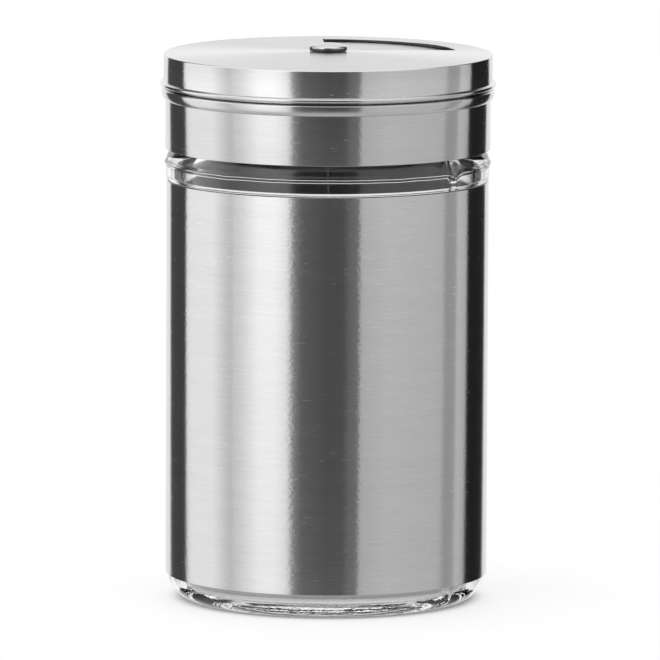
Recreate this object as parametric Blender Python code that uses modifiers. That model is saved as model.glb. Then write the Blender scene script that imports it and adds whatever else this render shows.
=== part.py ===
"""Round glass spice shaker with a brushed steel sleeve and a turning dial lid.

Lengths are in metres and +Z is up. The origin is the centre of the base, on the surface that the shaker stands on.
Every profile is a list of (radius, height) points about the Z axis. An outer side runs from top to bottom.
"""

import math

import bmesh
import bpy

MM = 0.001

# How finely round shapes are cut into flats.
SEGMENTS = 48
SMALL_SEGMENTS = 24
HOLE_SEGMENTS = 12
HELIX_STEPS_PER_TURN = 32
WELD_DISTANCE = 0.005 * MM
SHARP_ANGLE = math.radians(28)
QUARTER_DEG = 90

# Gaps between pieces.
SEAT_GAP = 0.3 * MM  # between pieces that stay still against each other
RUNNING_GAP = 0.1 * MM  # between faces that turn past each other
SHANK_CLEARANCE = 0.08 * MM  # round the rivet, on the radius
CUT_OVERRUN = 1.0 * MM  # how far a cutter runs past the faces that it cuts

# Steel sleeve: a sheet rolled round the glass, its edges meeting at the back.
SLEEVE_RADIUS = 25.0 * MM
SLEEVE_LENGTH = 61.5 * MM
SLEEVE_SHEET = 0.35 * MM
SLEEVE_EDGE = 0.1 * MM  # chamfer on the sheet's cut edges
SEAM_GAP = 0.4 * MM

# Glass jar, from the foot up.
FOOT_RADIUS = 21.0 * MM  # outer edge of the ring that it stands on
FOOT_WIDTH = 2.0 * MM
PUNT_DEPTH = 1.2 * MM  # how far the middle of the base is pushed up
PUNT_EDGE = 0.7 * MM
PUNT_SLOPE = 1.8 * MM
HEEL_HEIGHT = 3.9 * MM
HEEL_SLIP = 0.05 * MM  # the heel is this much smaller than the sleeve that slides over it
HEEL_TAPER = 0.6 * MM
FLOOR_THICKNESS = 3.4 * MM
FLOOR_CORNER = 3.0 * MM
GLASS_WALL = 2.0 * MM
SHOULDER_PROUD = 0.1 * MM  # the bulge stands this far outside the sleeve
SHOULDER_TUCK = 0.25 * MM  # the bulge's foot lies this far inside its widest ring
SHOULDER_FOOT = 2.65 * MM  # from the sleeve's top to the widest ring
SHOULDER_RISE = 3.15 * MM  # from the widest ring to the neck
SHOULDER_STEP = 3.1 * MM  # how far the neck lies inside the widest ring
NECK_HEIGHT = 10.1 * MM
NECK_WALL = 2.1 * MM
THROAT_HEIGHT = 4.5 * MM  # over which the inside narrows into the neck
RIM_ROUND = 0.7 * MM

# Screw thread, a rounded helical ridge on the neck and its like inside the lid.
THREAD_PITCH = 4.0 * MM
THREAD_TURNS = 1.15
THREAD_RADIUS = 1.0 * MM  # radius of the ridge's round section
THREAD_HEIGHT = 0.9 * MM  # how far the ridge stands out of its wall
THREAD_START = 3.6 * MM  # from the neck's foot to the start of the ridge
THREAD_CLEARANCE = 0.3 * MM
THREAD_FADE_TURNS = 0.08  # over which each end sinks into the wall
THREAD_END_SHARE = 0.05  # the ridge's size at its very end, as a share of its full size

# Plastic screw ring inside the lid.
INSERT_SKIN = 0.2 * MM  # plastic behind the thread
WEB_THICKNESS = 1.0 * MM
SNAP_RIB_SHARE = 0.5  # the rib's height as a share of the hollow in the bead

# Sealing ring between the rim of the glass and the screw ring.
SEAL_THICKNESS = 0.9 * MM
SEAL_INSET = 0.1 * MM  # its bore is this much wider than the neck's

# Lid shell, one drawn sheet: skirt, bead, a neck that the dial turns round, and the perforated deck.
LID_SHEET = 0.4 * MM
SKIRT_STANDOFF = 0.4 * MM  # its lower edge hangs this far above the shoulder
BEAD_PROUD = 0.6 * MM
BEAD_HEIGHT = 2.05 * MM
NECK_INDENT = 0.4 * MM  # the lid's neck lies this far inside its skirt
DECK_CORNER = 0.8 * MM
CROWN_RISE = 0.4 * MM  # the deck and the dial are domed by this much
CROWN_STEPS = 4

# Dial, the turning cover.
DIAL_SHEET = 0.4 * MM
DIAL_HEIGHT = 5.15 * MM
DIAL_SIDE_GAP = 0.3 * MM
DIAL_CORNER = 0.45 * MM
DIAL_FLARE = 0.1 * MM
DIAL_BEAD_GAP = 0.2 * MM
LIP_PROUD = 0.4 * MM
LIP_HEIGHT = 0.95 * MM

# Window in the dial. Angles are in degrees from +X towards +Y, which is away from the front.
WINDOW_INNER_RADIUS = 4.7 * MM
WINDOW_OUTER_RADIUS = 19.9 * MM
WINDOW_START_DEG = 12
WINDOW_END_DEG = 92.5
WINDOW_CORNER = 0.8 * MM

# Sieve in the deck. Its four quarters are blank, fine, coarse and pouring, each a quarter turn after the last.
# The first row of holes is the innermost, and each row outwards has one hole more.
FINE_HOLE_RADIUS = 0.8 * MM
FINE_FIRST_COUNT = 2
FINE_ROW_SHARES = (0.18, 0.42, 0.66, 0.9)  # each row's place as a share of the window's depth
COARSE_HOLE_RADIUS = 1.7 * MM
COARSE_FIRST_COUNT = 1
COARSE_ROW_SHARES = (0.2, 0.5, 0.83)
ROW_SPREAD_SHARE = 0.74  # the rows' width as a share of the window's
POUR_INSET = 1.3 * MM  # the pouring hole lies this far inside the window's outline
POUR_CORNER = 1.2 * MM

# Rivet and its washers.
SHANK_RADIUS = 1.5 * MM
HEAD_RADIUS = 2.9 * MM
HEAD_RIM = 0.5 * MM
HEAD_DOME = 0.65 * MM
TAIL_RADIUS = 2.4 * MM
TAIL_HEIGHT = 0.8 * MM
BACKING_RADIUS = 4.0 * MM
BACKING_THICKNESS = 0.6 * MM
WASHER_EDGE = 0.1 * MM
WAVE_RADIUS = 3.8 * MM
WAVE_SHEET = 0.3 * MM
WAVE_RISE = 0.2 * MM
WAVE_COUNT = 3

# Radii that follow, from the jar outwards.
sleeve_bore = SLEEVE_RADIUS - SLEEVE_SHEET
panel_radius = sleeve_bore - SEAT_GAP
heel_radius = sleeve_bore - HEEL_SLIP
jar_bore = panel_radius - GLASS_WALL
shoulder_radius = SLEEVE_RADIUS + SHOULDER_PROUD
neck_radius = shoulder_radius - SHOULDER_STEP
neck_bore = neck_radius - NECK_WALL
thread_sink = THREAD_RADIUS - THREAD_HEIGHT
insert_bore = neck_radius + THREAD_HEIGHT + THREAD_CLEARANCE
insert_radius = insert_bore + thread_sink + THREAD_RADIUS + INSERT_SKIN
seal_bore = neck_bore + SEAL_INSET
seal_radius = insert_bore - SEAT_GAP
skirt_bore = insert_radius + SEAT_GAP
skirt_radius = skirt_bore + LID_SHEET
bead_radius = skirt_radius + BEAD_PROUD
lid_neck_radius = skirt_radius - NECK_INDENT
lid_neck_bore = lid_neck_radius - LID_SHEET
crown_radius = lid_neck_radius - DECK_CORNER
dial_bore = lid_neck_radius + DIAL_SIDE_GAP
dial_radius = dial_bore + DIAL_SHEET
shank_hole_radius = SHANK_RADIUS + SHANK_CLEARANCE

# Heights that follow, from the base up.
sleeve_bottom = HEEL_HEIGHT
sleeve_top = sleeve_bottom + SLEEVE_LENGTH
jar_floor = PUNT_DEPTH + FLOOR_THICKNESS
shoulder_foot = sleeve_top + SEAT_GAP
shoulder_widest = sleeve_top + SHOULDER_FOOT
neck_foot = shoulder_widest + SHOULDER_RISE
rim_top = neck_foot + NECK_HEIGHT
glass_thread_start = neck_foot + THREAD_START
insert_thread_start = glass_thread_start - THREAD_PITCH / 2
insert_bottom = neck_foot + SEAT_GAP
seal_bottom = rim_top + SEAT_GAP
web_bottom = seal_bottom + SEAL_THICKNESS + SEAT_GAP
insert_top = web_bottom + WEB_THICKNESS
deck_top = insert_top + SEAT_GAP + LID_SHEET
dial_underside = deck_top + RUNNING_GAP
dial_top = dial_underside + DIAL_SHEET
dial_bottom = dial_top - DIAL_HEIGHT
bead_top = dial_bottom - DIAL_BEAD_GAP
bead_middle = bead_top - BEAD_HEIGHT / 2
head_underside = dial_top + CROWN_RISE + RUNNING_GAP
wave_middle = deck_top + CROWN_RISE - LID_SHEET - RUNNING_GAP - WAVE_RISE - WAVE_SHEET / 2
backing_top = wave_middle - WAVE_SHEET / 2 - WAVE_RISE - RUNNING_GAP
tail_top = backing_top - BACKING_THICKNESS - RUNNING_GAP
window_middle_deg = (WINDOW_START_DEG + WINDOW_END_DEG) / 2


def clear_scene():
    """Empties the scene that the script runs in."""
    for old in list(bpy.data.objects):
        bpy.data.objects.remove(old, do_unlink=True)


def new_collection(name):
    """A collection of the scene."""
    collection = bpy.data.collections.new(name)
    bpy.context.scene.collection.children.link(collection)
    return collection


def arc(centre, radii, start_deg, end_deg, steps):
    """Points along an ellipse's arc, in degrees anticlockwise from the outward direction."""
    points = []
    for step in range(steps + 1):
        angle = math.radians(start_deg + (end_deg - start_deg) * step / steps)
        points.append((centre[0] + radii[0] * math.cos(angle), centre[1] + radii[1] * math.sin(angle)))
    return points


def crown_line(edge_height):
    """The domed line of the deck or the dial, from the rivet's hole out to where the dome ends."""
    points = []
    for step in range(CROWN_STEPS + 1):
        radius = shank_hole_radius + (crown_radius - shank_hole_radius) * step / CROWN_STEPS
        points.append((radius, edge_height + CROWN_RISE * (1 - (radius / crown_radius) ** 2)))
    return points


def turned(name, profile, base, closed=True, segments=SEGMENTS):
    """A turned piece whose origin lies on the axis at the height of its base."""
    mesh = bpy.data.meshes.new(name)
    corners = [(radius, 0, height - base) for radius, height in profile]
    edges = [(index, index + 1) for index in range(len(profile) - 1)]
    if closed:
        edges.append((len(profile) - 1, 0))
    mesh.from_pydata(corners, edges, [])
    piece = bpy.data.objects.new(name, mesh)
    piece.location.z = base
    screw = piece.modifiers.new("turn", "SCREW")
    screw.angle = math.tau
    screw.steps = segments
    screw.render_steps = segments
    screw.use_merge_vertices = True
    screw.merge_threshold = WELD_DISTANCE
    parts.objects.link(piece)
    return piece


def mesh_of_curve(name, curve):
    """A closed mesh object made from a curve, for cutting or joining."""
    source = bpy.data.objects.new(name + "_curve", curve)
    cutters.objects.link(source)
    bpy.context.view_layer.update()
    evaluated = source.evaluated_get(bpy.context.evaluated_depsgraph_get())
    mesh = bpy.data.meshes.new_from_object(evaluated)
    work = bmesh.new()
    work.from_mesh(mesh)
    bmesh.ops.remove_doubles(work, verts=work.verts, dist=WELD_DISTANCE)
    work.to_mesh(mesh)
    work.free()
    tool = bpy.data.objects.new(name, mesh)
    tool.matrix_world = source.matrix_world
    bpy.data.objects.remove(source)
    cutters.objects.link(tool)
    tool.hide_render = True
    tool.display_type = "WIRE"
    return tool


def prism(name, outline, bottom, top):
    """A flat outline raised into a block between two heights."""
    curve = bpy.data.curves.new(name, "CURVE")
    curve.dimensions = "2D"
    curve.fill_mode = "BOTH"
    curve.extrude = (top - bottom) / 2
    spline = curve.splines.new("POLY")
    spline.points.add(len(outline) - 1)
    for point, (x, y) in zip(spline.points, outline):
        point.co = (x, y, 0, 1)
    spline.use_cyclic_u = True
    block = mesh_of_curve(name, curve)
    block.location.z = (top + bottom) / 2
    return block


def helix(name, radius, start_height):
    """The round ridge of a screw thread, both ends fading into the wall that it is joined to."""
    steps = round(THREAD_TURNS * HELIX_STEPS_PER_TURN)
    curve = bpy.data.curves.new(name, "CURVE")
    curve.dimensions = "3D"
    curve.bevel_depth = THREAD_RADIUS
    curve.bevel_resolution = 2
    curve.use_fill_caps = True
    spline = curve.splines.new("POLY")
    spline.points.add(steps)
    for step, point in enumerate(spline.points):
        turn = THREAD_TURNS * step / steps
        angle = math.tau * turn
        height = start_height + THREAD_PITCH * turn
        point.co = (radius * math.cos(angle), radius * math.sin(angle), height, 1)
        from_end = min(turn, THREAD_TURNS - turn)
        point.radius = THREAD_END_SHARE + (1 - THREAD_END_SHARE) * min(1, from_end / THREAD_FADE_TURNS)
    return mesh_of_curve(name, curve)


def round_holes(name, places, radius, bottom, top):
    """Upright cylinders at (x, y) places, all in one cutter."""
    work = bmesh.new()
    for x, y in places:
        made = bmesh.ops.create_cone(
            work, cap_ends=True, segments=HOLE_SEGMENTS, radius1=radius, radius2=radius, depth=top - bottom
        )
        bmesh.ops.translate(work, verts=made["verts"], vec=(x, y, (top + bottom) / 2))
    mesh = bpy.data.meshes.new(name)
    work.to_mesh(mesh)
    work.free()
    tool = bpy.data.objects.new(name, mesh)
    cutters.objects.link(tool)
    tool.hide_render = True
    tool.display_type = "WIRE"
    return tool


def combine(piece, tool, operation):
    """Cuts the tool out of the piece, or joins it on."""
    boolean = piece.modifiers.new(tool.name, "BOOLEAN")
    boolean.operation = operation
    boolean.solver = "EXACT"
    boolean.object = tool


def sector(inner_radius, outer_radius, start_deg, end_deg, corner):
    """A ring sector's outline with rounded corners, as (x, y) points."""
    steps = max(1, round(abs(end_deg - start_deg) / 360 * SEGMENTS))
    outer_turn = math.degrees(math.asin(corner / (outer_radius - corner)))
    inner_turn = math.degrees(math.asin(corner / (inner_radius + corner)))
    outline = []

    def fillet(distance, direction_deg, from_deg, to_deg):
        middle = (
            distance * math.cos(math.radians(direction_deg)),
            distance * math.sin(math.radians(direction_deg)),
        )
        outline.extend(arc(middle, (corner, corner), from_deg, to_deg, 3))

    first_outer = start_deg + outer_turn
    last_outer = end_deg - outer_turn
    first_inner = start_deg + inner_turn
    last_inner = end_deg - inner_turn
    fillet(outer_radius - corner, first_outer, start_deg - QUARTER_DEG, first_outer)
    outline.extend(arc((0, 0), (outer_radius, outer_radius), first_outer, last_outer, steps)[1:-1])
    fillet(outer_radius - corner, last_outer, last_outer, end_deg + QUARTER_DEG)
    fillet(inner_radius + corner, last_inner, end_deg + QUARTER_DEG, last_inner + 2 * QUARTER_DEG)
    outline.extend(arc((0, 0), (inner_radius, inner_radius), last_inner, first_inner, steps)[1:-1])
    fillet(inner_radius + corner, first_inner, first_inner + 2 * QUARTER_DEG, start_deg + 3 * QUARTER_DEG)
    return outline


def hole_places(row_shares, first_count, middle_deg):
    """Places of a sieve pattern's holes inside the outline of the window, as (x, y) points."""
    places = []
    half_spread = (WINDOW_END_DEG - WINDOW_START_DEG) / 2 * ROW_SPREAD_SHARE
    for row, depth_share in enumerate(row_shares):
        radius = WINDOW_INNER_RADIUS + (WINDOW_OUTER_RADIUS - WINDOW_INNER_RADIUS) * depth_share
        count = first_count + row
        for index in range(count):
            across = 0 if count == 1 else 2 * index / (count - 1) - 1
            angle = math.radians(middle_deg + across * half_spread)
            places.append((radius * math.cos(angle), radius * math.sin(angle)))
    return places


def finished(piece, parent, colour, roughness, metallic, alpha=1.0):
    """Makes the piece's modifiers final, shades it, gives it its material and hangs it on its parent."""
    bpy.context.view_layer.update()
    evaluated = piece.evaluated_get(bpy.context.evaluated_depsgraph_get())
    mesh = bpy.data.meshes.new_from_object(evaluated)
    piece.modifiers.clear()
    piece.data = mesh
    mesh.name = piece.name
    mesh.shade_smooth()
    mesh.set_sharp_from_angle(angle=SHARP_ANGLE)
    material = bpy.data.materials.new(piece.name)
    material.use_nodes = True
    shader = material.node_tree.nodes["Principled BSDF"]
    shader.inputs["Base Color"].default_value = (*colour, 1)
    shader.inputs["Roughness"].default_value = roughness
    shader.inputs["Metallic"].default_value = metallic
    shader.inputs["Alpha"].default_value = alpha
    mesh.materials.clear()
    mesh.materials.append(material)
    piece.parent = parent
    piece.location.z -= parent.matrix_world.translation.z
    return piece


def axis_empty(name, height, parent=None):
    """An empty on the Z axis that the pieces of one moving body hang on."""
    empty = bpy.data.objects.new(name, None)
    empty.empty_display_size = SLEEVE_RADIUS
    empty.location.z = height
    if parent:
        empty.parent = parent
        empty.location.z -= parent.matrix_world.translation.z
    parts.objects.link(empty)
    bpy.context.view_layer.update()
    return empty


def make_glass_jar(parent):
    """The jar: punt, foot ring, round heel, recessed wall, bulged shoulder, threaded neck and rim."""
    foot_inner = FOOT_RADIUS - FOOT_WIDTH
    inside = [(0, jar_floor)]
    inside += arc((jar_bore - FLOOR_CORNER, jar_floor + FLOOR_CORNER), (FLOOR_CORNER, FLOOR_CORNER), -90, 0, 4)
    throat_middle = ((jar_bore + neck_bore) / 2, neck_foot - THROAT_HEIGHT / 2)
    throat_half = ((jar_bore - neck_bore) / 2, THROAT_HEIGHT / 2)
    inside += arc((throat_middle[0], neck_foot - THROAT_HEIGHT), throat_half, 0, 90, 3)
    inside += arc((throat_middle[0], neck_foot), throat_half, 270, 180, 3)[1:]
    rim = arc((neck_bore + RIM_ROUND, rim_top - RIM_ROUND), (RIM_ROUND, RIM_ROUND), 180, 90, 2)
    rim += arc((neck_radius - RIM_ROUND, rim_top - RIM_ROUND), (RIM_ROUND, RIM_ROUND), 90, 0, 2)
    shoulder = arc((neck_radius, shoulder_widest), (SHOULDER_STEP, SHOULDER_RISE), 90, 0, 6)
    lower_half = (SHOULDER_TUCK, shoulder_widest - shoulder_foot)
    shoulder += arc((shoulder_radius - SHOULDER_TUCK, shoulder_widest), lower_half, -30, -90, 2)
    wall = [(panel_radius, shoulder_foot), (panel_radius, sleeve_bottom + HEEL_TAPER)]
    heel_size = (heel_radius - FOOT_RADIUS, HEEL_HEIGHT)
    heel = arc((FOOT_RADIUS, HEEL_HEIGHT), heel_size, 0, -90, 6)
    punt = [(foot_inner, 0), (foot_inner - PUNT_SLOPE, PUNT_EDGE), (0, PUNT_DEPTH)]
    profile = inside + rim + shoulder + wall + heel + punt
    jar = turned("glass_jar", profile, 0, closed=False)
    combine(jar, helix("neck_thread", neck_radius - thread_sink, glass_thread_start), "UNION")
    return finished(jar, parent, (0.95, 0.96, 0.96), 0.03, 0.0, alpha=0.35)


def make_steel_sleeve(parent):
    """The rolled sheet round the glass, with its butt seam at the back."""
    edge = SLEEVE_EDGE
    profile = [
        (sleeve_bore + edge, sleeve_top),
        (SLEEVE_RADIUS - edge, sleeve_top),
        (SLEEVE_RADIUS, sleeve_top - edge),
        (SLEEVE_RADIUS, sleeve_bottom + edge),
        (SLEEVE_RADIUS - edge, sleeve_bottom),
        (sleeve_bore + edge, sleeve_bottom),
        (sleeve_bore, sleeve_bottom + edge),
        (sleeve_bore, sleeve_top - edge),
    ]
    sleeve = turned("steel_sleeve", profile, sleeve_bottom)
    half = SEAM_GAP / 2
    near = sleeve_bore - CUT_OVERRUN
    far = SLEEVE_RADIUS + CUT_OVERRUN
    outline = [(half, near), (half, far), (-half, far), (-half, near)]
    combine(sleeve, prism("seam_cut", outline, sleeve_bottom - CUT_OVERRUN, sleeve_top + CUT_OVERRUN), "DIFFERENCE")
    return finished(sleeve, parent, (0.63, 0.63, 0.64), 0.28, 1.0)


def make_seal_ring(parent):
    """The flat ring that the rim of the glass presses on."""
    seal_top = seal_bottom + SEAL_THICKNESS
    half = SEAL_THICKNESS / 2
    profile = arc((seal_radius - half, seal_bottom + half), (half, half), 90, -90, 4)
    profile += [(seal_bore, seal_bottom), (seal_bore, seal_top)]
    seal = turned("seal_ring", profile, seal_bottom)
    return finished(seal, parent, (0.85, 0.85, 0.84), 0.6, 0.0)


def make_thread_insert(parent):
    """The plastic screw ring: a web over the seal, a rib that snaps into the bead, and the inner thread."""
    upper_radius = lid_neck_bore - SEAT_GAP
    hollow_half = BEAD_HEIGHT / 2 - LID_SHEET
    rib_half = hollow_half * SNAP_RIB_SHARE
    hollow_reach = (bead_radius - lid_neck_radius) * math.sqrt(1 - SNAP_RIB_SHARE**2)
    rib_radius = lid_neck_bore + hollow_reach - SEAT_GAP
    profile = [
        (seal_bore, insert_top),
        (upper_radius, insert_top),
        (upper_radius, bead_middle + hollow_half),
        (rib_radius, bead_middle + rib_half),
        (rib_radius, bead_middle - rib_half),
        (insert_radius, bead_middle - hollow_half),
        (insert_radius, insert_bottom),
        (insert_bore, insert_bottom),
        (insert_bore, web_bottom),
        (seal_bore, web_bottom),
    ]
    insert = turned("thread_insert", profile, insert_bottom)
    combine(insert, helix("insert_thread", insert_bore + thread_sink, insert_thread_start), "UNION")
    return finished(insert, parent, (0.05, 0.05, 0.055), 0.45, 0.0)


def skirt_bottom_height():
    """Height at which the skirt's bore just clears the round of the shoulder, and its standoff above that."""
    reach = (skirt_bore - SEAT_GAP - neck_radius) / SHOULDER_STEP
    return shoulder_widest + SHOULDER_RISE * math.sqrt(max(0, 1 - reach**2)) + SKIRT_STANDOFF


def lid_profile():
    """Section of the lid shell: down the outside, round the skirt's edge and up the inside."""
    skirt_bottom = skirt_bottom_height()
    bead_reach = bead_radius - lid_neck_radius
    bead_half = BEAD_HEIGHT / 2
    bead_end_deg = -math.degrees(math.acos((skirt_radius - lid_neck_radius) / bead_reach))
    corner_middle = (crown_radius, deck_top - DECK_CORNER)
    inner_corner = DECK_CORNER - LID_SHEET
    outside = crown_line(deck_top)
    outside += arc(corner_middle, (DECK_CORNER, DECK_CORNER), 90, 0, 3)[1:]
    outside += arc((lid_neck_radius, bead_middle), (bead_reach, bead_half), 90, bead_end_deg, 6)
    outside += [(skirt_radius, skirt_bottom)]
    hollow = (bead_reach, bead_half - LID_SHEET)
    inside = [(skirt_bore, skirt_bottom)]
    inside += arc((lid_neck_bore, bead_middle), hollow, bead_end_deg, 90, 6)
    inside += arc(corner_middle, (inner_corner, inner_corner), 0, 90, 2)[:-1]
    inside += reversed(crown_line(deck_top - LID_SHEET))
    return outside + inside


def make_lid_shell(parent):
    """The drawn steel screw cap with its perforated deck."""
    shell = turned("lid_shell", lid_profile(), skirt_bottom_height())
    bottom = deck_top - LID_SHEET - CUT_OVERRUN
    top = deck_top + CROWN_RISE + CUT_OVERRUN
    fine = hole_places(FINE_ROW_SHARES, FINE_FIRST_COUNT, window_middle_deg + QUARTER_DEG)
    combine(shell, round_holes("fine_holes", fine, FINE_HOLE_RADIUS, bottom, top), "DIFFERENCE")
    coarse = hole_places(COARSE_ROW_SHARES, COARSE_FIRST_COUNT, window_middle_deg + 2 * QUARTER_DEG)
    combine(shell, round_holes("coarse_holes", coarse, COARSE_HOLE_RADIUS, bottom, top), "DIFFERENCE")
    inset_deg = math.degrees(2 * POUR_INSET / (WINDOW_INNER_RADIUS + WINDOW_OUTER_RADIUS))
    outline = sector(
        WINDOW_INNER_RADIUS + POUR_INSET,
        WINDOW_OUTER_RADIUS - POUR_INSET,
        WINDOW_START_DEG + 3 * QUARTER_DEG + inset_deg,
        WINDOW_END_DEG + 3 * QUARTER_DEG - inset_deg,
        POUR_CORNER,
    )
    combine(shell, prism("pour_hole", outline, bottom, top), "DIFFERENCE")
    return finished(shell, parent, (0.63, 0.63, 0.64), 0.28, 1.0)


def make_dial_cap(parent):
    """The turning steel cover with its rolled lip and sector window."""
    corner_middle = (dial_radius - DIAL_CORNER, dial_top - DIAL_CORNER)
    lip_radius = dial_radius + DIAL_FLARE
    outside = crown_line(dial_top)
    outside += arc(corner_middle, (DIAL_CORNER, DIAL_CORNER), 90, 0, 3)
    outside += arc((lip_radius, dial_bottom + LIP_HEIGHT / 2), (LIP_PROUD, LIP_HEIGHT / 2), 90, -90, 6)
    inside = [(dial_bore + DIAL_FLARE, dial_bottom), (dial_bore, dial_underside)]
    inside += reversed(crown_line(dial_underside))
    dial = turned("dial_cap", outside + inside, dial_bottom)
    outline = sector(WINDOW_INNER_RADIUS, WINDOW_OUTER_RADIUS, WINDOW_START_DEG, WINDOW_END_DEG, WINDOW_CORNER)
    bottom = dial_underside - CUT_OVERRUN
    top = dial_top + CROWN_RISE + CUT_OVERRUN
    combine(dial, prism("window_cut", outline, bottom, top), "DIFFERENCE")
    return finished(dial, parent, (0.66, 0.66, 0.67), 0.25, 1.0)


def make_rivet(parent):
    """The domed rivet that the dial turns on, with its closed tail."""
    head_shoulder = head_underside + HEAD_RIM
    tail_bottom = tail_top - TAIL_HEIGHT
    profile = arc((0, head_shoulder), (HEAD_RADIUS, HEAD_DOME), 90, 0, 5)
    profile += [(HEAD_RADIUS, head_underside), (SHANK_RADIUS, head_underside)]
    profile += [(SHANK_RADIUS, tail_top), (TAIL_RADIUS, tail_top)]
    profile += arc((0, tail_top - TAIL_HEIGHT / 2), (TAIL_RADIUS, TAIL_HEIGHT / 2), 0, -90, 3)
    rivet = turned("rivet", profile, tail_bottom, closed=False, segments=SMALL_SEGMENTS)
    return finished(rivet, parent, (0.6, 0.6, 0.61), 0.2, 1.0)


def make_backing_washer(parent):
    """The flat washer that the rivet's tail is closed against."""
    bottom = backing_top - BACKING_THICKNESS
    profile = [
        (shank_hole_radius, backing_top),
        (BACKING_RADIUS - WASHER_EDGE, backing_top),
        (BACKING_RADIUS, backing_top - WASHER_EDGE),
        (BACKING_RADIUS, bottom + WASHER_EDGE),
        (BACKING_RADIUS - WASHER_EDGE, bottom),
        (shank_hole_radius, bottom),
    ]
    washer = turned("backing_washer", profile, bottom, segments=SMALL_SEGMENTS)
    return finished(washer, parent, (0.55, 0.55, 0.56), 0.35, 1.0)


def make_wave_washer(parent):
    """The wavy spring washer between the deck and the backing washer."""
    half = WAVE_SHEET / 2
    profile = [
        (shank_hole_radius, wave_middle + half),
        (WAVE_RADIUS, wave_middle + half),
        (WAVE_RADIUS, wave_middle - half),
        (shank_hole_radius, wave_middle - half),
    ]
    washer = turned("wave_washer", profile, wave_middle)
    finished(washer, parent, (0.5, 0.5, 0.51), 0.3, 1.0)
    for corner in washer.data.vertices:
        angle = math.atan2(corner.co.y, corner.co.x)
        corner.co.z += WAVE_RISE * math.cos(WAVE_COUNT * angle)
    return washer


clear_scene()
parts = new_collection("spice_shaker")
cutters = new_collection("cutters")
jar_axis = axis_empty("jar_axis", 0)
seal_axis = axis_empty("seal_axis", seal_bottom, jar_axis)
lid_axis = axis_empty("lid_axis", neck_foot, seal_axis)
dial_axis = axis_empty("dial_axis", deck_top, lid_axis)
make_glass_jar(jar_axis)
make_steel_sleeve(jar_axis)
make_seal_ring(seal_axis)
make_thread_insert(lid_axis)
make_lid_shell(lid_axis)
make_backing_washer(lid_axis)
make_wave_washer(lid_axis)
make_rivet(lid_axis)
make_dial_cap(dial_axis)
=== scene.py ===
"""Looks of the glass and steel spice shaker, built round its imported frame.

Lengths are in metres, as in the frame, and the shaker's front faces -Y. Every profile is a list of
(radius, height) points about the Z axis, and its outer side runs from top to bottom.
"""

import math

import bmesh
import bpy
from mathutils import Matrix, Vector, noise


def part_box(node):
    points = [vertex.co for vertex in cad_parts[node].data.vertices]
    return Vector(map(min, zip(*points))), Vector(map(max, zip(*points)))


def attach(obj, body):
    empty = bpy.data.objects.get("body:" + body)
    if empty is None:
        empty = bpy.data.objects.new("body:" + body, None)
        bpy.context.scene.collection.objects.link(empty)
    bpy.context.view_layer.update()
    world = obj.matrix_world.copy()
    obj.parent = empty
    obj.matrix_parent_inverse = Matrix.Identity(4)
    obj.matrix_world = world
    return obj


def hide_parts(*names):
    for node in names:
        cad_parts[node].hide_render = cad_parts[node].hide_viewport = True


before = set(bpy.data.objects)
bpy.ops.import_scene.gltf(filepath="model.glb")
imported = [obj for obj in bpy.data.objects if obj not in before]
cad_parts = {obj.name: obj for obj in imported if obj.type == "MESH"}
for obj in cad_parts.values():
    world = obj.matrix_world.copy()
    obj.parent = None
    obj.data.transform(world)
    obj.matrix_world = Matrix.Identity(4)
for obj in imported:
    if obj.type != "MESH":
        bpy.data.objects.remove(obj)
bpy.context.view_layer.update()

MM = 0.001


def reach_of(node):
    """The radius of a node of the frame."""
    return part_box(node)[1].x


def levels_of(node):
    """The lowest and highest level of a node of the frame."""
    low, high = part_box(node)
    return low.z, high.z


# Fineness of the round shapes.
SEGMENTS = 360
SMALL_SEGMENTS = 96
HOLE_SEGMENTS = 40
ROW_STEP = 0.25 * MM  # the tallest row of faces where a wall carries relief
SHARP_ANGLE = math.radians(40)
THROAT_STEPS = 28
SHOULDER_STEPS = 80
CHAMFER_STEPS = 12
LIP_STEPS = 20
EDGE_ROUND = 0.07 * MM  # rounding of a sheet's cut edges
CUT_OVERRUN = 1.0 * MM

# Clearances and sheets.
SEAT_GAP = 0.3 * MM
RUNNING_GAP = 0.1 * MM
SLEEVE_SHEET = 0.35 * MM
SEAM_GAP = 0.02 * MM  # the sleeve's edges all but touch at the back
SEAM_ROUND = 0.1 * MM
LID_SHEET = 0.4 * MM
DIAL_SHEET = 0.4 * MM
CROWN_RISE = 0.4 * MM
SHANK_HOLE_RADIUS = 1.58 * MM
SHANK_RADIUS = 1.5 * MM

# Glass.
FOOT_RADIUS = 21.0 * MM
FOOT_WIDTH = 2.0 * MM
FOOT_ROUND = 0.8 * MM
PUNT_DEPTH = 0.8 * MM
FLOOR_THICKNESS = 1.5 * MM
FLOOR_CORNER = 3.0 * MM
GLASS_WALL = 2.0 * MM
HEEL_SLIP = 0.05 * MM
HEEL_TAPER = 0.6 * MM
SHOULDER_SEAT = 0.05 * MM  # the ring rests almost on the sleeve's edge
SHOULDER_FOOT = 2.65 * MM
SHOULDER_RISE = 3.15 * MM
SHOULDER_TUCK = 0.05 * MM
CHAMFER_TOP = 0.65 * MM  # the ring's lower edge is drawn in from here down, this far above the sleeve
CHAMFER_BOTTOM = 0.2 * MM
CHAMFER_SLOPES_DEG = (13, 24)
CHAMFER_ROUND = (0.12 * MM, 0.15 * MM)
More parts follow.
